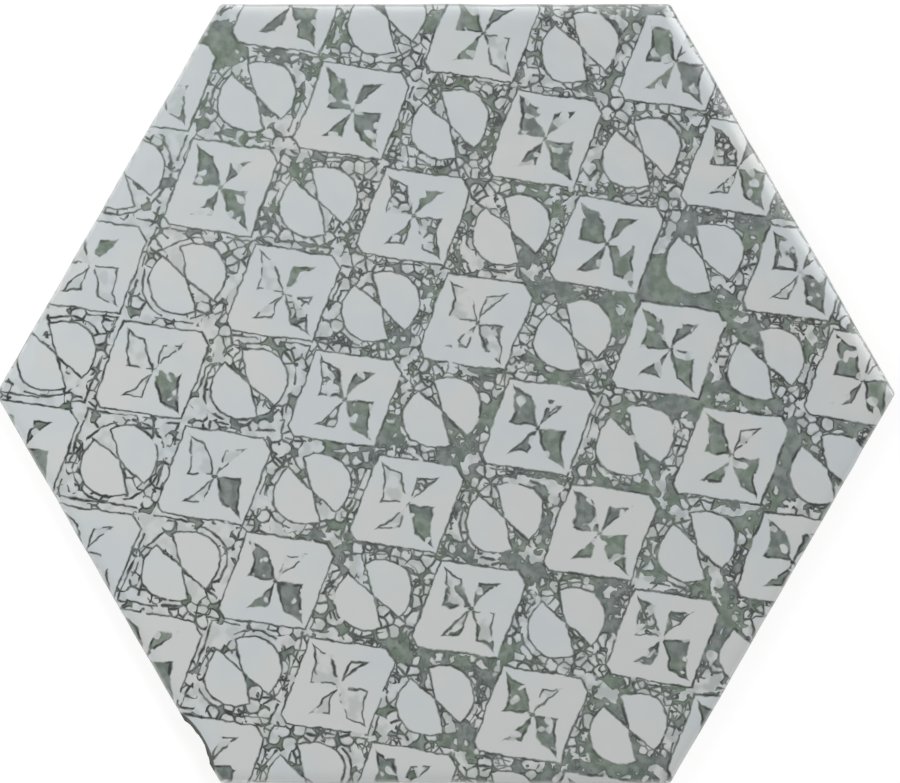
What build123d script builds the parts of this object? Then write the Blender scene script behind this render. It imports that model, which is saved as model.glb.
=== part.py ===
"""Hexagonal decorative tile: glazed ceramic, pressed and fired in one piece.

The face looks up (+Z), two corners point along +X and -X, and the origin is the middle of the back.
All sizes are in millimetres.
"""
import os
from math import sqrt

from build123d import *

# Overall sizes
across_flats = 200.0  # from one straight side to the opposite one
thickness = 9.0

# Cushion edge: near the sides the face falls away in a quarter of an ellipse
cushion_width = 5.0  # how far in from the side the fall begins
cushion_drop = 1.2  # how much lower the face is where it meets the side
corner_radius = 2.2  # rounding of the six upright corners

# Back: a bevel around the rim, and honeycomb pockets that key the tile to its adhesive
back_bevel = 1.0
key_border = 12.0  # plain border between the bevel and the honeycomb
key_rings = 5  # rings of pockets around the middle one
key_rib = 3.0  # width of the rib left between two pockets
key_depth = 0.8
key_draft = 20.0  # degrees that the pocket walls lean, so that the die lets go

hexagon_sides = 6
sharp_side_length = across_flats / sqrt(3)  # of a side, before its corners are rounded

# The honeycomb reaches from the middle of the back to the border, which sets the pockets' spacing
row_share = sqrt(3) / 2  # spacing of the rows of pockets, as a share of that of the pockets in a row
reach_share = 1 / sqrt(3)  # from a pocket's middle to its corner, as a share of its width
honeycomb_reach = across_flats / 2 - back_bevel - key_border
key_pitch = (honeycomb_reach + key_rib * reach_share) / (key_rings * row_share + reach_share)
pocket_flats = key_pitch - key_rib
pocket_middles = [
    (key_pitch * (column + row / 2), key_pitch * row_share * row)
    for row in range(-key_rings, key_rings + 1)
    for column in range(-key_rings, key_rings + 1)
    if abs(column + row) <= key_rings
]

# Cushion edge of one side: the bar of waste outside the quarter ellipse, long enough to mitre
rim_section = Plane(origin=(0, across_flats / 2, thickness), x_dir=(0, 1, 0), z_dir=(1, 0, 0))
with BuildPart() as edge_waste:
    with BuildSketch(rim_section):
        with BuildLine():
            EllipticalCenterArc((-cushion_width, -cushion_drop), cushion_width, cushion_drop, arc_size=90)
            Polyline((-cushion_width, 0), (0, 0), (0, -cushion_drop))
        make_face()
    extrude(amount=sharp_side_length, both=True)

with BuildPart() as hexagon_tile:
    # Pressed body, with upright sides and a bevel round the back
    with BuildSketch() as footprint:
        RegularPolygon(across_flats / 2, hexagon_sides, major_radius=False)
        fillet(footprint.vertices(), corner_radius)
    extrude(amount=thickness)
    chamfer(hexagon_tile.faces().sort_by(Axis.Z).first.edges(), back_bevel)

    # Cushion edge, mitred at the corners
    with PolarLocations(0, hexagon_sides):
        add(edge_waste.part, mode=Mode.SUBTRACT)

    # Keyed back
    with BuildSketch() as key_pockets:
        with Locations(*pocket_middles):
            RegularPolygon(pocket_flats / 2, hexagon_sides, major_radius=False, rotation=180 / hexagon_sides)
    extrude(amount=key_depth, taper=key_draft, mode=Mode.SUBTRACT)

hexagon_tile.part.label = "hexagon_tile"

os.makedirs("parts", exist_ok=True)
export_step(hexagon_tile.part, "parts/hexagon_tile.step")
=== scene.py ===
"""Decorative hexagon tile: the glazed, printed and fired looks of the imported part.

The file is laid out as an add-on. Run as a script, it builds the tile and its stage.
Lengths in meshes and lamps are in metres; the print's own sums are in millimetres.
"""
from math import atan2, cos, hypot, pi, radians, sin, sqrt

import bpy
from bpy.props import FloatProperty, FloatVectorProperty, IntProperty, PointerProperty
from mathutils import Matrix, Vector


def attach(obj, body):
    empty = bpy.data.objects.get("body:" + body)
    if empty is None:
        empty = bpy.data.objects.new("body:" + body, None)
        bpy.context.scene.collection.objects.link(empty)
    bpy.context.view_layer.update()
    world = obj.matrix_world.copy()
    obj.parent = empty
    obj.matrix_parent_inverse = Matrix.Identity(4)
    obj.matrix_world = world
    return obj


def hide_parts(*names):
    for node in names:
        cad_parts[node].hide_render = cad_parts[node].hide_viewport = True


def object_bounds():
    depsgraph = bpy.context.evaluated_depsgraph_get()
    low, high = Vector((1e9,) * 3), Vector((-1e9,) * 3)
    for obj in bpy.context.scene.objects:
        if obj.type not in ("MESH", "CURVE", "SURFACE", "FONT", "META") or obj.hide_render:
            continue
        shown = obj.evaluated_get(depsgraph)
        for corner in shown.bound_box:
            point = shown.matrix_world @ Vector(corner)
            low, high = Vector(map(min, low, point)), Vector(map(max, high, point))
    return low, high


bl_info = {
    "name": "Decorative Hexagon Tile",
    "version": (1, 0, 0),
    "blender": (4, 5, 0),
    "location": "View3D > Sidebar > Tile",
    "description": "Builds a glazed hexagon tile with a worn print of discs and pinwheels",
    "category": "Object",
}

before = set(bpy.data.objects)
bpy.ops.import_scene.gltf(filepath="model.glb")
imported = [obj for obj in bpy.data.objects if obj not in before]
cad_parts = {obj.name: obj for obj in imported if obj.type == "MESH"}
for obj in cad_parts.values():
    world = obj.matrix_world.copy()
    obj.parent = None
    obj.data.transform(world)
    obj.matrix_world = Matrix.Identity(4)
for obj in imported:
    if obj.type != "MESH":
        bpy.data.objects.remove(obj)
cad_low, cad_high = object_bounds()
TILE_NODE = "hexagon_tile"
POOLING = "ink_pooling"  # the mesh attribute that says where the ink pooled
MILLIMETRE = 0.001
HEXAGON_SIDES = 6
SIDE_BEARINGS = [radians(30 + 60 * side) for side in range(HEXAGON_SIDES)]
BACK_BEVEL = 1.0 * MILLIMETRE  # as in the solid
RIM_HEIGHT = 7.8  # where the face meets the sides, in millimetres above the back
CORNER_REACH = 115.0  # from the middle of the tile to a corner, in millimetres


def srgb(red, green, blue):
    """A colour as it looks on a screen, from 0 to 255, as the linear colour that shaders take."""
    def linear(value):
        share = value / 255
        return share / 12.92 if share <= 0.04045 else ((share + 0.055) / 1.055) ** 2.4
    return (linear(red), linear(green), linear(blue))


# Settings that a user would change


class TileBodySettings(bpy.types.PropertyGroup):
    """Shape of the pressed and fired body."""
    cushion_width: FloatProperty(
        name="Cushion width", default=5.0 * MILLIMETRE, unit="LENGTH", precision=5,
        description="How far in from the sides the face begins to fall, as in the solid")
    cushion_drop: FloatProperty(
        name="Cushion drop", default=1.2 * MILLIMETRE, unit="LENGTH", precision=5,
        description="How much lower the face is where it meets the sides, as in the solid")
    cushion_rings: IntProperty(
        name="Cushion rings", description="Rings of faces across the cushion edge", default=9)
    mesh_step: FloatProperty(
        name="Mesh step", description="Spacing of the cuts that make the face fine enough to shape",
        default=2.2 * MILLIMETRE, unit="LENGTH", precision=5)
    edge_wander: FloatProperty(
        name="Edge wander", description="How far the sides stray inwards from a straight line",
        default=0.5 * MILLIMETRE, unit="LENGTH", precision=5)
    face_ripple: FloatProperty(
        name="Face ripple", description="Depth of the low hollows in the glazed face",
        default=0.10 * MILLIMETRE, unit="LENGTH", precision=5)
    chip_place: FloatVectorProperty(
        name="Chip place", description="Middle of the chip in the rim", subtype="XYZ",
        default=(-64.5 * MILLIMETRE, -89.8 * MILLIMETRE, 7.6 * MILLIMETRE))
    chip_size: FloatVectorProperty(
        name="Chip size", description="Length, reach and height of the chip, each from its middle",
        subtype="XYZ", default=(7.0 * MILLIMETRE, 2.4 * MILLIMETRE, 14.0 * MILLIMETRE))
    chip_turn: FloatProperty(
        name="Chip turn", description="Bearing of the side that the chip is in",
        default=radians(-60), subtype="ANGLE")


class TilePrintSettings(bpy.types.PropertyGroup):
    """Layout and colours of the print and the glaze."""
    pitch: FloatProperty(
        name="Check size", description="Side of one check of the print",
        default=24.92 * MILLIMETRE, unit="LENGTH", precision=5)
    turn: FloatProperty(
        name="Row turn", description="How far the rows of checks are turned from the X axis",
        default=radians(-8.38), subtype="ANGLE")
    lean: FloatProperty(
        name="Column lean", description="Angle from a row of checks to a column of checks",
        default=radians(-102.29), subtype="ANGLE")
    pinwheel_place: FloatVectorProperty(
        name="Pinwheel place", description="Middle of one of the pinwheels, which the rest are set out from",
        size=2, default=(-23.97 * MILLIMETRE, 72.88 * MILLIMETRE), subtype="XYZ")
    line_width: FloatProperty(
        name="Line width", description="Width of the dark outlines",
        default=0.58 * MILLIMETRE, unit="LENGTH", precision=5)
    cobble_size: FloatProperty(
        name="Cobble size", description="Spacing of the pale cobbles in the bands of print",
        default=3.0 * MILLIMETRE, unit="LENGTH", precision=5)
    glaze_warm: FloatVectorProperty(
        name="Glaze", description="Colour of the bare glaze", subtype="COLOR",
        default=srgb(186, 189, 188))
    glaze_cool: FloatVectorProperty(
        name="Cool glaze", description="Colour of the glaze where it is bluest", subtype="COLOR",
        default=srgb(182, 188, 190))
    glaze_thin: FloatVectorProperty(
        name="Thin glaze", description="Colour of the glaze where it breaks over the rim", subtype="COLOR",
        default=srgb(230, 232, 230))
    ink_fill: FloatVectorProperty(
        name="Ink fill", description="Colour of the filled parts of the print", subtype="COLOR",
        default=srgb(83, 93, 90))
    ink_green: FloatVectorProperty(
        name="Green ink", description="Colour of the filled parts where they are greenest", subtype="COLOR",
        default=srgb(87, 101, 87))
    ink_line: FloatVectorProperty(
        name="Ink line", description="Colour of the outlines", subtype="COLOR",
        default=srgb(22, 26, 24))
    fired_body: FloatVectorProperty(
        name="Fired body", description="Colour of the bare ceramic", subtype="COLOR",
        default=srgb(214, 205, 190))
    body_shade: FloatVectorProperty(
        name="Body shade", description="Colour that the bare ceramic darkens towards", subtype="COLOR",
        default=srgb(178, 166, 148))
    chip_wall: FloatVectorProperty(
        name="Chip wall", description="Colour of the soiled body inside the chip", subtype="COLOR",
        default=srgb(168, 158, 142))
    # Painted shade and dirt: the chip's dark lip stands in for the shadow in the chip as well as for soil
    chip_lip_dirt_and_shade: FloatVectorProperty(
        name="Chip lip", description="Colour of the chip's lip at the face", subtype="COLOR",
        default=srgb(84, 87, 83))


class TileStageSettings(bpy.types.PropertyGroup):
    """Camera, lamps and floor."""
    lens: FloatProperty(
        name="Lens", description="Focal length of the camera, in millimetres", default=100.0)
    framing: FloatProperty(
        name="Framing", description="Width of what the camera sees at the height of the rim",
        default=230.5 * MILLIMETRE, unit="LENGTH", precision=5)
    aim: FloatVectorProperty(
        name="Aim", description="Point of the tile that the camera looks straight down on",
        size=2, default=(1.15 * MILLIMETRE, 0.59 * MILLIMETRE), subtype="XYZ")
    sky_strength: FloatProperty(
        name="Sky strength", description="Strength of the even light from all around", default=0.47)
    key_strength: FloatProperty(
        name="Key strength", description="Strength of the key light from the upper right", default=1.25)
    gleam_power: FloatProperty(
        name="Gleam power", description="Power of the panel that gleams in the edges, in watts",
        default=36.0)
    fill_power: FloatProperty(
        name="Fill power", description="Power of the fill light at the upper left, in watts", default=0.85)


# Wires: values in a node tree, with arithmetic


class Wire:
    """A socket's value in a node tree. Arithmetic on it adds Math nodes."""

    def __init__(self, tree, socket):
        self.tree = tree
        self.socket = socket

    def math(self, operation, *values):
        """The Math node's result for these values, of which one at least is a wire."""
        node = self.tree.nodes.new("ShaderNodeMath")
        node.operation = operation
        for slot, value in zip(node.inputs, values):
            plug(self.tree, slot, value)
        return Wire(self.tree, node.outputs[0])

    def __add__(self, other):
        return self.math("ADD", self, other)

    def __radd__(self, other):
        return self.math("ADD", other, self)

    def __sub__(self, other):
        return self.math("SUBTRACT", self, other)

    def __rsub__(self, other):
        return self.math("SUBTRACT", other, self)

    def __mul__(self, other):
        return self.math("MULTIPLY", self, other)

    def __rmul__(self, other):
        return self.math("MULTIPLY", other, self)

    def __neg__(self):
        return self.math("MULTIPLY", self, -1.0)

    def __abs__(self):
        return self.math("ABSOLUTE", self)

    def most(self, other):
        """The larger of two values."""
        return self.math("MAXIMUM", self, other)

    def least(self, other):
        """The smaller of two values."""
        return self.math("MINIMUM", self, other)

    def over(self, bar):
        """1 where the value is over the bar, and otherwise 0."""
        return self.math("GREATER_THAN", self, bar)

    def ramp(self, start, end, low=0.0, high=1.0):
        """Goes smoothly from low to high as the value goes from start to end, and stays there."""
        node = self.tree.nodes.new("ShaderNodeMapRange")
        node.interpolation_type = "SMOOTHSTEP"
        for slot, value in zip(node.inputs, (self, start, end, low, high)):
            plug(self.tree, slot, value)
        return Wire(self.tree, node.outputs["Result"])

    def blend(self, low, high):
        """Low where the value is 0, high where it is 1."""
        node = self.tree.nodes.new("ShaderNodeMix")
        slots = [node.inputs[label] for label in ("Factor", "A", "B")]
        for slot, value in zip(slots, (self, low, high)):
            plug(self.tree, slot, value)
        return Wire(self.tree, node.outputs["Result"])

    def tint(self, low, high):
        """As blend, for colours, whose sockets share their names with others and so go by number."""
        node = self.tree.nodes.new("ShaderNodeMix")
        node.data_type = "RGBA"
        slots = [node.inputs[number] for number in (0, 6, 7)]
        for slot, value in zip(slots, (self, low, high)):
            plug(self.tree, slot, value)
        return Wire(self.tree, node.outputs[2])


def plug(tree, slot, value):
    """Feeds a socket with a wire, a number, a vector or a colour."""
    if isinstance(value, Wire):
        tree.links.new(value.socket, slot)
    elif slot.type == "RGBA":
        slot.default_value = (*value[:3], 1.0)
    else:
        slot.default_value = value


def vector_math(operation, first, second, output="Vector"):
    """A Vector Math node's result. The first value is a wire."""
    node = first.tree.nodes.new("ShaderNodeVectorMath")
    node.operation = operation
    plug(first.tree, node.inputs[0], first)
    plug(first.tree, node.inputs["Scale"] if operation == "SCALE" else node.inputs[1], second)
    return Wire(first.tree, node.outputs[output])


def combine(x, y, z):
    """A vector from three values, of which x is a wire."""
    node = x.tree.nodes.new("ShaderNodeCombineXYZ")
    for slot, value in zip(node.inputs, (x, y, z)):
        plug(x.tree, slot, value)
    return Wire(x.tree, node.outputs[0])


def separate(vector):
    """The three parts of a vector."""
    node = vector.tree.nodes.new("ShaderNodeSeparateXYZ")
    plug(vector.tree, node.inputs[0], vector)
    return [Wire(vector.tree, output) for output in node.outputs]


def noise(place, size, detail=1.0, output="Fac", flat=True):
    """Soft noise, with lumps of about this size."""
    node = place.tree.nodes.new("ShaderNodeTexNoise")
    node.noise_dimensions = "2D" if flat else "3D"
    plug(place.tree, node.inputs["Vector"], place)
    node.inputs["Scale"].default_value = 1 / size
    node.inputs["Detail"].default_value = detail
    return Wire(place.tree, node.outputs[output])


def random_value(vector):
    """An even random value from 0 to 1, the same wherever the vector is the same."""
    node = vector.tree.nodes.new("ShaderNodeTexWhiteNoise")
    node.noise_dimensions = "3D"
    plug(vector.tree, node.inputs["Vector"], vector)
    return Wire(vector.tree, node.outputs["Value"])


def voronoi(place, size, feature):
    """Voronoi cells of about this size."""
    node = place.tree.nodes.new("ShaderNodeTexVoronoi")
    node.voronoi_dimensions = "2D"
    node.feature = feature
    plug(place.tree, node.inputs["Vector"], place)
    node.inputs["Scale"].default_value = 1 / size
    return node


def waver(place, size):
    """A random shift around zero, which changes over about this distance."""
    return vector_math("SUBTRACT", noise(place, size, output="Color"), (0.5, 0.5, 0.5))


def distance_to(place, spot):
    """Distance from a place to a spot of the face."""
    return vector_math("DISTANCE", place, (*spot, 0.0), "Value")


def cobbles(place, size, rounding=0.66):
    """Distance inside cobbles, rounded at this share of their size, and a random value for each cobble."""
    between = Wire(place.tree, voronoi(place, size, "DISTANCE_TO_EDGE").outputs["Distance"])
    cells = voronoi(place, size, "F1")
    from_middle = Wire(place.tree, cells.outputs["Distance"])
    inside = between.least(rounding - from_middle) * size
    return inside, separate(Wire(place.tree, cells.outputs["Color"]))[0]


def new_group(name, inputs, outputs):
    """An empty shader node group, and its input wires and output sockets by name."""
    tree = bpy.data.node_groups.new(name, "ShaderNodeTree")
    for label, kind in inputs.items():
        tree.interface.new_socket(label, in_out="INPUT", socket_type=kind)
    for label, kind in outputs.items():
        tree.interface.new_socket(label, in_out="OUTPUT", socket_type=kind)
    source = tree.nodes.new("NodeGroupInput")
    sink = tree.nodes.new("NodeGroupOutput")
    wires = {label: Wire(tree, source.outputs[label]) for label in inputs}
    return tree, wires, sink.inputs


# The print


# Shares of a check, with u along the rows and v down the columns from the check's middle
SQUARE_MIDDLE = (0.013, 0.020)
SQUARE_HALF = 0.458
UPPER_CHAMFER = 0.12
LOWER_CHAMFER = 0.085
DISC_MIDDLE = (0.016, 0.016)
DISC_RADIUS = 0.374
BOW_HALF_ANGLE = radians(14.5)
BOW_PINCH = 0.004
HUB_RADIUS = 0.022
BLADE_TILT = 0.065
LONG_BLADE_ANGLE = radians(60.3)
SHORT_BLADE_ANGLE = radians(54.2)
HALF_DIAGONAL = sqrt(0.5)

# Edges of the blades in the same shares: where they start, and how the outer ones slope and curve
LONG_GAP, LONG_SHIFT = 0.012, 0.005
SHORT_GAP, SHORT_SHIFT = 0.004, 0.018
TAIL_PLACE, TAIL_CURVE = 0.286, 0.66
FOOT_MIDDLE, FOOT_PLACE, FOOT_SLOPE, FOOT_CURVE = 0.2, 0.328, 0.373, 0.51
TOP_PLACE, TOP_CURVE = 0.285, 0.38

# Fullness up to which a cobble has its outlines alone, and from which it is nearly solid
BARE_COBBLE = 0.27
FULL_COBBLE = 1.15

# Middles of the areas where the print has less fill, and where its lines are pale, in millimetres
OPEN_CORNER = (-45.0, -95.0)
OPEN_MIDDLE = (13.0, 32.0)
PALE_CORNER = (-75.0, 80.0)

# Where the ink pooled to a solid and where it missed: middles and radii in millimetres
INK_POOLS = (
    (-58, 89, 7), (-44, 88, 5), (-38, 82, 5), (-38, 78, 4), (-29, 92, 5), (-49, 66, 6), (-55, 66, 4),
    (-45, 71, 4), (-63, 73, 4), (-65, 68, 4), (-36, 57, 4), (-46, 47, 5), (-33, 38, 5), (-22, 67, 5),
    (-37, 94, 5), (-2, 95, 4), (-30, 87, 4), (-70, 65, 4), (3, 79, 4), (13, 70, 4), (11, 64, 5),
    (19, 81, 3), (41, 97, 5), (46, 95, 4), (54, 98, 5), (36, 77, 4), (51, 74, 4), (16, 53, 4),
    (23, 51, 4), (28, 47, 4), (21, 36, 4), (61, 65, 4), (62, 43, 4), (56, 40, 4), (78, 43, 5),
    (37, 45, 4), (-4, 26, 4), (6, 35, 4), (-12, 14, 4), (-28, 2, 5), (-22, 3, 3), (-12, 3, 4),
    (-60, 9, 3), (-14, -9, 4), (-25, -14, 5), (-18, -15, 4), (2, -15, 5), (6, -13, 3), (5, -19, 4),
    (3, -9, 3), (11, -6, 5), (10, 5, 4), (12, 24, 3), (4, 13, 4), (12, 15, 3), (23, 27, 4), (31, 27, 4),
    (23, 10, 3), (28, 4, 4), (33, 3, 4), (19, -4, 5), (27, -4, 4), (19, -13, 4), (25, -22, 5),
    (54, 28, 7), (48, 24, 5), (60, 24, 5), (66, 21, 5), (44, 21, 5), (44, 15, 4), (73, 21, 4),
    (86, 36, 6), (88, 32, 5), (53, 19, 4), (68, 4, 5), (65, -2, 5), (57, -2, 4), (73, 0, 4), (81, -3, 5),
    (78, 15, 4), (95, 14, 3), (101, 11, 4), (104, 8, 4), (88, -13, 6), (86, -21, 6), (78, -30, 5),
    (52, -16, 4), (55, -26, 6), (44, -5, 4), (39, -23, 4), (38, -36, 4), (103, -8, 4), (3, -41, 5),
    (20, -41, 5), (26, -33, 4), (44, -41, 4), (40, -48, 6), (34, -48, 4), (23, -47, 4), (3, -52, 4),
    (10, -51, 4), (3, -61, 4), (10, -62, 5), (-12, -64, 5), (-3, -67, 5), (4, -68, 5), (12, -70, 5),
    (16, -64, 5), (51, -68, 4), (43, -77, 5), (38, -94, 5), (46, -95, 6), (56, -97, 5), (30, -97, 5),
    (27, -88, 4), (3, -89, 5), (-26, -42, 4), (-29, -37, 5), (-31, -61, 4), (-65, -80, 4), (72, -56, 4),
    (54, -45, 4), (58, -66, 4), (60, -76, 4), (66, -76, 5), (41, -55, 4), (70, -50, 5), (73, -62, 4),
    (69, -67, 4), (85, -38, 4),
)
INK_GAPS = (
    (-12, 70, 6), (0, 59, 6), (25, 88, 6), (38, 64, 6), (-28, 21, 6), (-28, 13, 4), (-21, -5, 4),
    (-29, -6, 3), (-40, -12, 6), (-8, 8, 4), (-4, 6, 4), (-7, 32, 3), (-4, -13, 3), (13, 31, 4),
    (-33, 28, 6), (84, 5, 5), (72, 9, 3), (62, -12, 4), (38, -14, 4), (76, 30, 5), (-15, -82, 6),
    (-23, -80, 5), (-15, -95, 6), (27, -69, 6), (21, -58, 4), (10, -36, 5), (45, 76, 6), (34, 98, 4),
    (-10, 84, 6), (-3, 78, 5), (-55, 78, 5), (-16, 60, 4), (8, 56, 4), (32, 60, 4), (58, 55, 5),
    (64, 83, 4), (90, 2, 5), (92, 19, 4), (97, -10, 4), (109, -2, 4), (-42, 66, 4), (-67, 30, 6),
    (-85, 21, 5), (-95, -15, 4), (-104, -17, 4), (-50, 5, 6), (-55, -25, 4), (20, -30, 5), (60, -12, 4),
    (40, 1, 4), (18, 13, 4), (34, 16, 4), (37, 34, 4), (30, 40, 3), (2, 46, 5), (-25, -92, 6),
    (-50, -90, 6), (-24, -70, 5), (-3, 72, 5), (14, 42, 4), (52, 66, 5), (48, 8, 4), (34, -63, 3),
    (53, -90, 3),
)


def length(u, v):
    """Distance from the middle."""
    squared = u * u + v * v
    return squared.math("SQRT", squared)


def plain_square(u, v):
    """Distance outside the plain square that carries a pinwheel. Two of its corners are cut off."""
    u = u - SQUARE_MIDDLE[0]
    v = v - SQUARE_MIDDLE[1]
    sides = abs(u).most(abs(v)) - SQUARE_HALF
    upper_cut = (u - v - (2 * SQUARE_HALF - UPPER_CHAMFER)) * HALF_DIAGONAL
    lower_cut = (v - u - (2 * SQUARE_HALF - LOWER_CHAMFER)) * HALF_DIAGONAL
    return sides.most(upper_cut).most(lower_cut)


def pinwheel(u, v):
    """Distance outside the nearest of a pinwheel's four blades, and a number that tells them apart.

    A half turn takes the pinwheel to itself.
    """
    u = u - SQUARE_MIDDLE[0]
    v = v - SQUARE_MIDDLE[1] + u * BLADE_TILT
    side = v.math("SIGN", v)
    across = u * side
    down = abs(v)
    past = across - FOOT_MIDDLE
    long_side = down * cos(LONG_BLADE_ANGLE) - (across - LONG_SHIFT) * sin(LONG_BLADE_ANGLE)
    long_tail = across - down * down * TAIL_CURVE - TAIL_PLACE
    long_foot = down - past * FOOT_SLOPE - past * past * FOOT_CURVE - FOOT_PLACE
    long_blade = (LONG_GAP - down).most(long_side).most(long_tail).most(long_foot)
    back = -across
    short_side = back * sin(SHORT_BLADE_ANGLE) - (down - SHORT_SHIFT) * cos(SHORT_BLADE_ANGLE)
    short_top = down - back * back * TOP_CURVE - TOP_PLACE
    short_blade = (SHORT_GAP - back).most(short_side).most(short_top)
    number = across.over(0.0) * 2.0 + side
    hub = length(u, v) - HUB_RADIUS
    return long_blade.least(short_blade).least(hub), number


def split_disc(u, v):
    """Distances outside a disc's two petals and outside its rim, and inside the bow that splits it."""
    u = u - DISC_MIDDLE[0]
    v = v - DISC_MIDDLE[1]
    along = (u + v) * HALF_DIAGONAL
    aside = (u - v) * HALF_DIAGONAL
    bow = abs(along) * sin(BOW_HALF_ANGLE) - abs(aside) * cos(BOW_HALF_ANGLE) + BOW_PINCH
    from_rim = length(u, v) - DISC_RADIUS
    return from_rim.most(bow), from_rim, bow


def print_group(settings):
    """Node group of the print: how much fill, dark line and thin wash each place of the face has."""
    tree, wires, sink = new_group(
        "Worn Check Print",
        {"Place": "NodeSocketVector", "Pooling": "NodeSocketFloat"},
        {"Fill": "NodeSocketFloat", "Line": "NodeSocketFloat", "Wash": "NodeSocketFloat"},
    )
    place = wires["Place"]
    pooling = wires["Pooling"]
    pitch = settings.pitch / MILLIMETRE
    line = settings.line_width / MILLIMETRE

    # A hand-drawn waver, broad and fine
    broad = vector_math("SCALE", waver(place, 9.0), 1.3)
    fine = vector_math("SCALE", waver(place, 2.0), 0.65)
    drawn = vector_math("ADD", vector_math("ADD", place, broad), fine)

    # Which check a place is in, and where in it
    rows = Matrix.Rotation(settings.turn, 2) @ Vector((pitch, 0.0))
    columns = Matrix.Rotation(settings.turn + settings.lean, 2) @ Vector((pitch, 0.0))
    to_checks = Matrix((rows, columns)).transposed().inverted()
    start = Vector(settings.pinwheel_place) / MILLIMETRE
    from_start = vector_math("SUBTRACT", drawn, (*start, 0.0))
    row_place = vector_math("DOT_PRODUCT", from_start, (*to_checks[0], 0.0), "Value")
    column_place = vector_math("DOT_PRODUCT", from_start, (*to_checks[1], 0.0), "Value")
    row_count = row_place.math("ROUND", row_place)
    column_count = column_place.math("ROUND", column_place)
    u = row_place - row_count
    v = column_place - column_count
    is_disc = row_count.math("FLOORED_MODULO", row_count + column_count, 2.0)

    # Depth inside the printed shapes, in millimetres: under 0 on the plain squares and petals
    square = plain_square(u, v)
    wobble = separate(vector_math("SCALE", waver(place, 5.0), 0.06))
    blades, blade_number = pinwheel(u + wobble[0], v + wobble[1])
    petals, from_rim, bow = split_disc(u, v)
    depth = is_disc.blend(square.most(-blades), petals) * pitch

    # Fullness of each cobble: more to the right, less to the top, and by chance, blade and pool
    x, y, _ = separate(place)
    left = x.ramp(-5.0, -95.0)
    flat_place = vector_math("ADD", combine(x, y, 0.0), fine)
    cobble_size = settings.cobble_size / MILLIMETRE
    cobble, ink_chance = cobbles(flat_place, cobble_size)
    rightward = x.ramp(-CORNER_REACH, CORNER_REACH, -0.10, 0.29)
    upward = y.ramp(10.0, 80.0, 0.0, 0.18)
    fullness = rightward - upward + (noise(place, 17.0) - 0.5) * 1.2
    blade_chance = random_value(combine(row_count, column_count, blade_number))
    in_square = square.ramp(0.0, -0.03) * (1.0 - is_disc)
    fullness = fullness + in_square * (blade_chance - 0.3) * 0.9
    fullness = fullness + (ink_chance - 0.5) * 0.7
    fullness = fullness + pooling * 0.8
    open_corner = distance_to(place, OPEN_CORNER).ramp(25.0, 65.0, 1.0, 0.0)
    open_middle = distance_to(place, OPEN_MIDDLE).ramp(20.0, 65.0, 1.0, 0.0)
    fullness = fullness - open_corner * 0.3 - open_middle * 0.15

    # Lines run along the printed shapes' outlines, along a rail inside them and between cobbles and pebbles.
    # A push of some millimetres takes a line out of the ink's reach, so that it breaks off
    push = 3.0
    small_push = 2.5
    no_rail = 9.0
    ring = abs(from_rim * pitch - 1.7) + (noise(place, 9.0) - left * 0.08).ramp(0.45, 0.53, 0.0, push)
    from_check = (0.5 - abs(u).most(abs(v))) * pitch
    broken = noise(place, 8.0) - left * 0.08
    straight = abs(from_check - 0.7) + broken.ramp(0.45, 0.53, 0.0, push)
    ray = abs(bow) * pitch + broken.ramp(0.52, 0.46, 0.0, push)
    rail = is_disc.blend(no_rail, ring.least(straight).least(ray))
    plain_blade = in_square * blade_chance.ramp(0.15, 0.22) * small_push
    cobble = cobble + (noise(place, 6.5) + left * 0.15).ramp(0.60, 0.68, 0.0, small_push) + plain_blade
    pebble = cobbles(flat_place, cobble_size * 0.55)[0]
    pebble = pebble + (noise(place, 5.5) - left * 0.2).ramp(0.59, 0.53, 0.0, small_push) + plain_blade
    edge = (depth - 0.14).least(rail).least(cobble).least(pebble)

    # Ink lies within a reach of those lines, fills most of the blades, and is worn away in places
    heavy = noise(place, 4.0).ramp(0.3, 0.7, 0.55, 1.5)
    reach = fullness.ramp(BARE_COBBLE, FULL_COBBLE, line * 0.40, 1.25) * heavy
    reach = reach + pooling.ramp(1.0, 2.0, 0.0, 4.0)
    solid_chance = blade_chance + x.ramp(-CORNER_REACH, CORNER_REACH, -0.1, 0.1)
    reach = reach + in_square * solid_chance.ramp(0.36, 0.46) * 3.0
    past = edge - reach
    worn_blade = in_square * noise(place, 4.0).ramp(0.40, 0.34)
    wear = noise(place, 5.0).ramp(0.21, 0.27) * (1.0 - worn_blade)
    in_print = depth.ramp(-0.3, 0.25)
    inked = past.ramp(0.28, -0.28) * in_print * wear
    wash = in_print * noise(place, 3.7).ramp(0.38, 0.66)
    wash = wash * x.ramp(-CORNER_REACH, CORNER_REACH, 0.3, 0.6)

    # It is dark along its own edge, most to the left, the right and the top, but not in the pale corner
    tone = noise(place, 3.0).ramp(0.35, 0.65, 0.55, 1.0)
    rim = past.ramp(-line * 1.2, -line * 0.4) * fullness.ramp(0.2, 1.0, 1.0, 0.5)
    outline = depth.ramp(line * 1.4, line * 0.7) * noise(place, 7.0).ramp(0.38, 0.52)
    strength = abs(x - 5.0).ramp(30.0, 110.0, 0.87, 1.28)
    strength = strength + y.ramp(40.0, 95.0, 0.0, 0.2) + open_corner * 0.15
    pale_corner = distance_to(place, PALE_CORNER).ramp(20.0, 80.0, 0.5, 1.0)
    plug(tree, sink["Fill"], inked)
    plug(tree, sink["Line"], rim.most(outline) * inked * pale_corner * strength * tone)
    plug(tree, sink["Wash"], wash)
    return tree


# Materials


GLAZE_EDGE = 4.2  # mean height at which the glaze ends on the sides, in millimetres
GLAZE_RUN = 5.0  # how much that height varies, in millimetres
BODY_ROUGHNESS = 0.85
CHIP_ROUGHNESS = 0.9


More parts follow.
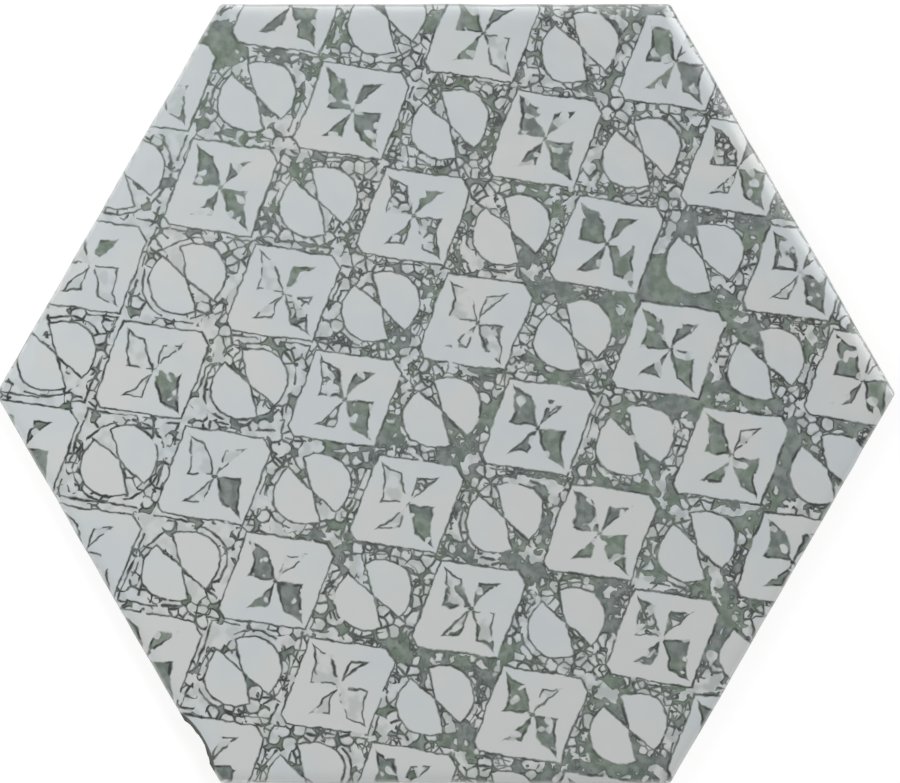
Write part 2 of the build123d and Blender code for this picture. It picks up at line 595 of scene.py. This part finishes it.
def new_material(name):
    """A material, its node tree and Principled BSDF, and a wire with the place on the piece in metres."""
    material = bpy.data.materials.new(name)
    material.use_nodes = True
    tree = material.node_tree
    shader = tree.nodes["Principled BSDF"]
    coordinates = tree.nodes.new("ShaderNodeTexCoord")
    return material, tree, shader, Wire(tree, coordinates.outputs["Object"])


def chip_mask(place, settings):
    """1 in the chip and on its crumbled lip, which ends between two squared shares of the chip's size."""
    lip_start, lip_end = 1.6, 1.95
    turned = Matrix.Rotation(settings.chip_turn, 3, "Z")
    across = vector_math("SUBTRACT", place, settings.chip_place)
    shares = []
    for axis in range(3):
        direction = turned.col[axis] / settings.chip_size[axis]
        shares.append(vector_math("DOT_PRODUCT", across, direction, "Value"))
    squared = shares[0] * shares[0] + shares[1] * shares[1] + shares[2] * shares[2]
    return squared.ramp(lip_end, lip_start)


def printed_glaze(settings, body_settings):
    """Printed and glazed face, with the bare fired body below the glaze's edge."""
    material, tree, shader, metres = new_material("printed_glaze")
    place = vector_math("SCALE", metres, 1 / MILLIMETRE)
    node = tree.nodes.new("ShaderNodeGroup")
    node.node_tree = print_group(settings)
    plug(tree, node.inputs["Place"], place)
    pooling = tree.nodes.new("ShaderNodeAttribute")
    pooling.attribute_name = POOLING
    plug(tree, node.inputs["Pooling"], Wire(tree, pooling.outputs["Fac"]))
    across_face = separate(place)
    height = across_face[2]

    # Glaze and ink, which stops at the rim
    printed = height.ramp(RIM_HEIGHT - 0.5, RIM_HEIGHT)
    fill, line, wash = [Wire(tree, node.outputs[name]) * printed for name in ("Fill", "Line", "Wash")]
    cloud = noise(place, 24.0, detail=2.0) + across_face[1] * 0.0012
    glaze = cloud.ramp(0.38, 0.62).tint(settings.glaze_warm, settings.glaze_cool)
    ink = noise(place, 12.0).ramp(0.38, 0.62).tint(settings.ink_fill, settings.ink_green)
    mottle = noise(place, 2.6, detail=2.0).ramp(0.3, 0.7, 0.78, 1.0)
    inked = (wash * 0.6).tint(glaze, ink)
    inked = (fill * mottle).tint(inked, ink)
    inked = line.tint(inked, settings.ink_line)
    thin = height.ramp(RIM_HEIGHT + 0.7, RIM_HEIGHT + 0.1, 0.0, 0.55)
    inked = thin.tint(inked, settings.glaze_thin)

    # The glaze ends part of the way down the sides, and the chip shows the soiled body, with painted shade
    # that darkens it towards the lip at the face
    run = noise(place, 9.0, flat=False)
    glazed = (height - GLAZE_EDGE - (run - 0.5) * GLAZE_RUN).ramp(-0.25, 0.25)
    grain = noise(place, 0.7, detail=3.0, flat=False)
    body_tone = noise(place, 14.0, detail=3.0, flat=False).ramp(0.3, 0.7, 0.0, 0.25)
    body = body_tone.tint(settings.fired_body, settings.body_shade)
    chipped = chip_mask(metres, body_settings)
    # Painted shade and dirt in the chip: soiled body lower down, darkening to a painted shadow at the lip
    soil_and_shade = height.ramp(6.0, 8.0).tint(settings.chip_wall, settings.chip_lip_dirt_and_shade)
    plug(tree, shader.inputs["Base Color"], chipped.tint(glazed.tint(body, inked), soil_and_shade))
    sheen = noise(place, 5.0, detail=2.0).ramp(0.3, 0.7, 0.30, 0.40) + fill * 0.06
    roughness = chipped.blend(glazed.blend(BODY_ROUGHNESS, sheen), CHIP_ROUGHNESS)
    plug(tree, shader.inputs["Roughness"], roughness)

    # Fine relief: orange peel in the glaze, grain in the bare body
    peel = noise(place, 3.0, detail=2.0, flat=False) * 0.5
    bump = tree.nodes.new("ShaderNodeBump")
    bump.inputs["Strength"].default_value = 0.25
    bump.inputs["Distance"].default_value = 0.15 * MILLIMETRE
    plug(tree, bump.inputs["Height"], chipped.blend(glazed.blend(grain, peel), grain))
    tree.links.new(bump.outputs["Normal"], shader.inputs["Normal"])
    return material


# The tile


def only(piece):
    """Selects one piece and makes it active."""
    bpy.ops.object.select_all(action="DESELECT")
    piece.select_set(True)
    bpy.context.view_layer.objects.active = piece


def choose_faces(piece, test):
    """In edit mode, selects the faces that pass the test, and nothing else."""
    bpy.ops.object.mode_set(mode="EDIT")
    bpy.ops.mesh.select_mode(type="FACE")
    bpy.ops.mesh.select_all(action="DESELECT")
    bpy.ops.object.mode_set(mode="OBJECT")
    for face in piece.data.polygons:
        face.select = test(face)
    bpy.ops.object.mode_set(mode="EDIT")


def apply_modifier(piece, kind, **values):
    """Adds a modifier, sets it and applies it."""
    only(piece)
    modifier = piece.modifiers.new(kind.lower(), kind)
    for name, value in values.items():
        setattr(modifier, name, value)
    bpy.ops.object.modifier_apply(modifier=modifier.name)


def lumps(name, size):
    """Soft noise for a Displace modifier."""
    texture = bpy.data.textures.new(name, "CLOUDS")
    texture.noise_scale = size
    texture.noise_depth = 2
    return texture


def weigh(piece, name, weight):
    """A vertex group in which each vertex has its own weight."""
    group = piece.vertex_groups.new(name=name)
    for vertex in piece.data.vertices:
        group.add([vertex.index], weight(vertex), "REPLACE")
    return group.name


def depth_from_sides(place):
    """Distance from a place to the nearest of the tile's six upright sides, in plan."""
    return min(cad_high.y - place.x * cos(bearing) - place.y * sin(bearing) for bearing in SIDE_BEARINGS)


def share(value, start, end):
    """How far a value has come from start to end, from 0 to 1."""
    return min(max((value - start) / (end - start), 0.0), 1.0)


def on_back(face):
    """Whether a face belongs to the back, its pockets or its bevel."""
    return face.normal.z < -0.1 or face.center.z < BACK_BEVEL


def cut(normal, distances):
    """In edit mode, cuts what isn't hidden by upright planes at these distances along their normal."""
    for distance in distances:
        bpy.ops.mesh.select_all(action="SELECT")
        bpy.ops.mesh.bisect(plane_co=normal * distance, plane_no=normal)


def chip_cutter(settings):
    """A rough lump that takes the chip out of the rim."""
    bpy.ops.object.select_all(action="DESELECT")
    bpy.ops.mesh.primitive_ico_sphere_add(subdivisions=4, radius=1.0)
    lump = bpy.context.active_object
    lump.scale = settings.chip_size
    lump.rotation_euler = (0.0, 0.0, settings.chip_turn)
    lump.location = settings.chip_place
    bpy.ops.object.transform_apply(location=True, rotation=True, scale=True)
    apply_modifier(
        lump, "DISPLACE", texture=lumps("chip lumps", 3.0 * MILLIMETRE), texture_coords="LOCAL",
        direction="NORMAL", mid_level=0.5, strength=1.0 * MILLIMETRE)
    return lump


def pressed_tile(settings):
    """The tile's mesh: the solid with a finer face, wandering sides, low hollows and a chip."""
    piece = bpy.data.objects.new("glazed_tile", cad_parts[TILE_NODE].data.copy())
    bpy.context.scene.collection.objects.link(piece)
    only(piece)
    bpy.ops.object.mode_set(mode="EDIT")
    bpy.ops.mesh.select_all(action="SELECT")
    bpy.ops.mesh.remove_doubles(threshold=1e-6)

    # The face and its cushion edge give way to one flat face, cut into rings along the sides
    top, width, drop = cad_high.z, settings.cushion_width, settings.cushion_drop
    choose_faces(piece, lambda face: face.normal.z > 0.02 and face.center.z > top - drop)
    bpy.ops.mesh.delete(type="FACE")
    bpy.ops.mesh.select_mode(type="EDGE")
    bpy.ops.mesh.select_all(action="DESELECT")
    bpy.ops.mesh.select_non_manifold(extend=False)
    bpy.ops.mesh.edge_face_add()
    choose_faces(piece, lambda face: face.normal.z < 0.5)
    bpy.ops.mesh.hide()
    count = settings.cushion_rings
    rings = [width * (1 - sin(radians(90 * number / count))) for number in range(count)]
    for bearing in SIDE_BEARINGS:
        cut(Vector((cos(bearing), sin(bearing), 0.0)), [cad_high.y - ring for ring in rings])

    # Face and sides are cut fine, and the back stays as it is
    bpy.ops.mesh.reveal()
    choose_faces(piece, on_back)
    bpy.ops.mesh.hide()
    for axis in (Vector((1.0, 0.0, 0.0)), Vector((0.0, 1.0, 0.0))):
        half = int(cad_high.dot(axis) / settings.mesh_step)
        cut(axis, [settings.mesh_step * (step + 0.5) for step in range(-half, half)])
    bpy.ops.mesh.reveal()
    bpy.ops.object.mode_set(mode="OBJECT")

    is_face = {index for face in piece.data.polygons if face.normal.z > 0.5 for index in face.vertices}

    def lift_weight(vertex):
        """How far a vertex of the flat face rises to the cushion shape, as a share of the drop."""
        if vertex.index not in is_face:
            return 0.0
        out = 1 - share(depth_from_sides(vertex.co), 0.0, width)
        fall = drop * (1 - sqrt(max(1 - out * out, 0.0)))
        return share(top - fall - vertex.co.z, 0.0, drop)

    def side_weight(vertex):
        """1 on the upper part of the sides, fading out across the rim and towards the back."""
        out = 1 - share(depth_from_sides(vertex.co), 0.0, width * 0.6)
        return out * share(vertex.co.z, BACK_BEVEL, 6.0 * MILLIMETRE)

    def face_weight(vertex):
        """1 on the flat of the face, fading out across the cushion edge."""
        return share(vertex.co.z, top - drop, top)

    # The face rises to its cushion shape, the sides wander inwards and the face gets low hollows
    lift = weigh(piece, "lift", lift_weight)
    apply_modifier(piece, "DISPLACE", direction="Z", mid_level=0.0, strength=drop, vertex_group=lift)
    sides = weigh(piece, "sides", side_weight)
    apply_modifier(
        piece, "DISPLACE", texture=lumps("side lumps", 16.0 * MILLIMETRE), texture_coords="LOCAL",
        direction="NORMAL", mid_level=1.0, strength=settings.edge_wander, vertex_group=sides)
    face = weigh(piece, "face", face_weight)
    apply_modifier(
        piece, "DISPLACE", texture=lumps("face lumps", 45.0 * MILLIMETRE), texture_coords="LOCAL",
        direction="Z", mid_level=1.0, strength=settings.face_ripple, vertex_group=face)
    piece.vertex_groups.clear()

    # The chip
    lump = chip_cutter(settings)
    apply_modifier(piece, "BOOLEAN", operation="DIFFERENCE", solver="EXACT", object=lump)
    bpy.data.objects.remove(lump)
    return piece


def add_bake_map(piece):
    """Own UV map for a bake: the face large, the sides in a strip above it, the back small in a corner."""
    face_scale, back_scale, side_scale, side_step = 0.49, 0.092, 0.155, 0.164
    layer = piece.data.uv_layers.new(name="OFBake")
    half = cad_high.x
    for face in piece.data.polygons:
        bearing = atan2(face.center.y, face.center.x) % (2 * pi)
        side = int(bearing / (2 * pi) * HEXAGON_SIDES)
        along = Vector((-sin(SIDE_BEARINGS[side]), cos(SIDE_BEARINGS[side]), 0.0))
        for corner in face.loop_indices:
            place = piece.data.vertices[piece.data.loops[corner].vertex_index].co
            if face.normal.z > 0.2 and face.center.z > cad_high.z / 2:
                spot = (0.5 + face_scale * place.x / half, 0.01 + face_scale * (place.y + cad_high.y) / half)
            elif on_back(face):
                spot = (0.105 + back_scale * place.x / half, 0.095 + back_scale * place.y / half)
            else:
                run = 0.09 + side_step * side + side_scale * place.dot(along) / half
                spot = (run, 0.88 + 0.1 * place.z / cad_high.z)
            layer.data[corner].uv = spot


def pool_ink(piece):
    """Marks each vertex with how the ink pooled there: -1 missed, 0 as drawn, 1 nearly solid, 2 solid."""
    solid_radius = 6

    def nearness(place, spots):
        """The strongest of the spots at a place. Each fades out around its radius."""
        strongest = 0.0
        for x, y, radius in spots:
            fade = share(1.25 - hypot(place.x - x, place.y - y) / radius, 0.0, 0.5)
            strongest = max(strongest, fade * (2 if radius > solid_radius else 1))
        return strongest

    layer = piece.data.attributes.new(POOLING, "FLOAT", "POINT")
    for vertex in piece.data.vertices:
        place = vertex.co / MILLIMETRE
        layer.data[vertex.index].value = nearness(place, INK_POOLS) - nearness(place, INK_GAPS)


class TILE_OT_build(bpy.types.Operator):
    """Builds the printed and glazed tile in place of the plain solid"""
    bl_idname = "hexagon_tile.build"
    bl_label = "Build Tile"

    def execute(self, context):
        piece = pressed_tile(context.scene.tile_body)
        piece.data.materials.clear()
        piece.data.materials.append(printed_glaze(context.scene.tile_print, context.scene.tile_body))
        add_bake_map(piece)
        pool_ink(piece)
        only(piece)
        bpy.ops.object.shade_smooth_by_angle(angle=radians(35))
        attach(piece, "root")
        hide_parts(TILE_NODE)
        return {"FINISHED"}


# The stage


def background_rays(tree):
    """1 for the rays that see the background: from the camera, and by way of gloss or glass."""
    path = tree.nodes.new("ShaderNodeLightPath")
    camera, glossy, clear = [
        Wire(tree, path.outputs[name]) for name in ("Is Camera Ray", "Is Glossy Ray", "Is Transmission Ray")]
    return camera.most(glossy).most(clear)


def add_floor():
    """A wide floor that shows white and keeps a faint shadow."""
    grey = 0.3
    glow_strength = 0.75
    bpy.ops.object.select_all(action="DESELECT")
    bpy.ops.mesh.primitive_plane_add(size=6.0)
    floor = bpy.context.active_object
    floor.name = "floor"
    material = bpy.data.materials.new("white_floor")
    material.use_nodes = True
    tree = material.node_tree
    tree.nodes.remove(tree.nodes["Principled BSDF"])
    matte = tree.nodes.new("ShaderNodeBsdfDiffuse")
    matte.inputs["Color"].default_value = (grey, grey, grey, 1.0)
    glow = tree.nodes.new("ShaderNodeEmission")
    plug(tree, glow.inputs["Strength"], background_rays(tree) * glow_strength)
    both = tree.nodes.new("ShaderNodeAddShader")
    tree.links.new(matte.outputs[0], both.inputs[0])
    tree.links.new(glow.outputs[0], both.inputs[1])
    tree.links.new(both.outputs[0], tree.nodes["Material Output"].inputs["Surface"])
    floor.data.materials.append(material)


def aim(lamp, height, bearing, distance):
    """Puts a lamp at this height angle and bearing as seen from the tile, and turns it to the tile."""
    toward = Vector((cos(height) * cos(bearing), cos(height) * sin(bearing), sin(height)))
    lamp.location = toward * distance
    lamp.rotation_euler = toward.to_track_quat("Z", "Y").to_euler()


def add_lamp(name, kind, energy):
    """A lamp of this kind."""
    bpy.ops.object.light_add(type=kind)
    lamp = bpy.context.active_object
    lamp.name = name
    lamp.data.energy = energy
    return lamp


def add_key(strength):
    """A broad key light from the upper right."""
    lamp = add_lamp("key_light", "SUN", strength)
    lamp.data.angle = radians(28)
    aim(lamp, height=radians(50), bearing=radians(48), distance=1.3)


def add_gleam(power):
    """A wide panel at the upper right that shows in the glaze of the cushion edges."""
    lamp = add_lamp("gleam_panel", "AREA", power)
    lamp.data.shape = "RECTANGLE"
    lamp.data.size = 2.2
    lamp.data.size_y = 0.8
    aim(lamp, height=radians(32), bearing=radians(58), distance=1.3)
    lamp.visible_diffuse = False


def add_fill(power):
    """A matte fill light, nearer to the upper left."""
    lamp = add_lamp("fill_light", "AREA", power)
    lamp.data.shape = "SQUARE"
    lamp.data.size = 0.3
    aim(lamp, height=radians(50), bearing=radians(165), distance=0.5)
    lamp.visible_glossy = False


def add_sky(strength):
    """Even light from all around, seen as white."""
    world = bpy.data.worlds.new("studio")
    world.use_nodes = True
    tree = world.node_tree
    background = tree.nodes["Background"]
    background.inputs["Color"].default_value = (1.0, 1.0, 1.0, 1.0)
    plug(tree, background.inputs["Strength"], background_rays(tree).blend(strength, 1.0))
    bpy.context.scene.world = world


def add_camera(settings):
    """A camera that looks straight down on the tile."""
    sensor = 36.0
    distance = settings.framing * settings.lens / sensor
    bpy.ops.object.camera_add(rotation=(0.0, 0.0, 0.0))
    camera = bpy.context.active_object
    camera.name = "photo_camera"
    camera.data.lens = settings.lens
    camera.data.sensor_width = sensor
    camera.data.clip_start = 0.01
    camera.location = (*settings.aim, RIM_HEIGHT * MILLIMETRE + distance)
    bpy.context.scene.camera = camera


class TILE_OT_stage(bpy.types.Operator):
    """Sets up the floor, the light and the camera"""
    bl_idname = "hexagon_tile.stage"
    bl_label = "Set Stage"

    def execute(self, context):
        settings = context.scene.tile_stage
        add_floor()
        add_sky(settings.sky_strength)
        add_key(settings.key_strength)
        add_gleam(settings.gleam_power)
        add_fill(settings.fill_power)
        add_camera(settings)
        context.scene.view_settings.view_transform = "Standard"
        return {"FINISHED"}


class VIEW3D_PT_hexagon_tile(bpy.types.Panel):
    """Settings and buttons of the tile"""
    bl_label = "Decorative Tile"
    bl_idname = "VIEW3D_PT_hexagon_tile"
    bl_space_type = "VIEW_3D"
    bl_region_type = "UI"
    bl_category = "Tile"

    def draw(self, context):
        scene = context.scene
        for settings in (scene.tile_body, scene.tile_print, scene.tile_stage):
            for name in settings.__annotations__:
                self.layout.prop(settings, name)
        self.layout.operator(TILE_OT_build.bl_idname)
        self.layout.operator(TILE_OT_stage.bl_idname)


CLASSES = (
    TileBodySettings, TilePrintSettings, TileStageSettings, TILE_OT_build, TILE_OT_stage,
    VIEW3D_PT_hexagon_tile,
)


def register():
    for item in CLASSES:
        bpy.utils.register_class(item)
    bpy.types.Scene.tile_body = PointerProperty(type=TileBodySettings)
    bpy.types.Scene.tile_print = PointerProperty(type=TilePrintSettings)
    bpy.types.Scene.tile_stage = PointerProperty(type=TileStageSettings)


def unregister():
    del bpy.types.Scene.tile_stage
    del bpy.types.Scene.tile_print
    del bpy.types.Scene.tile_body
    for item in reversed(CLASSES):
        bpy.utils.unregister_class(item)


def main():
    register()
    bpy.ops.hexagon_tile.build()
    bpy.ops.hexagon_tile.stage()


if __name__ == "__main__":
    main()
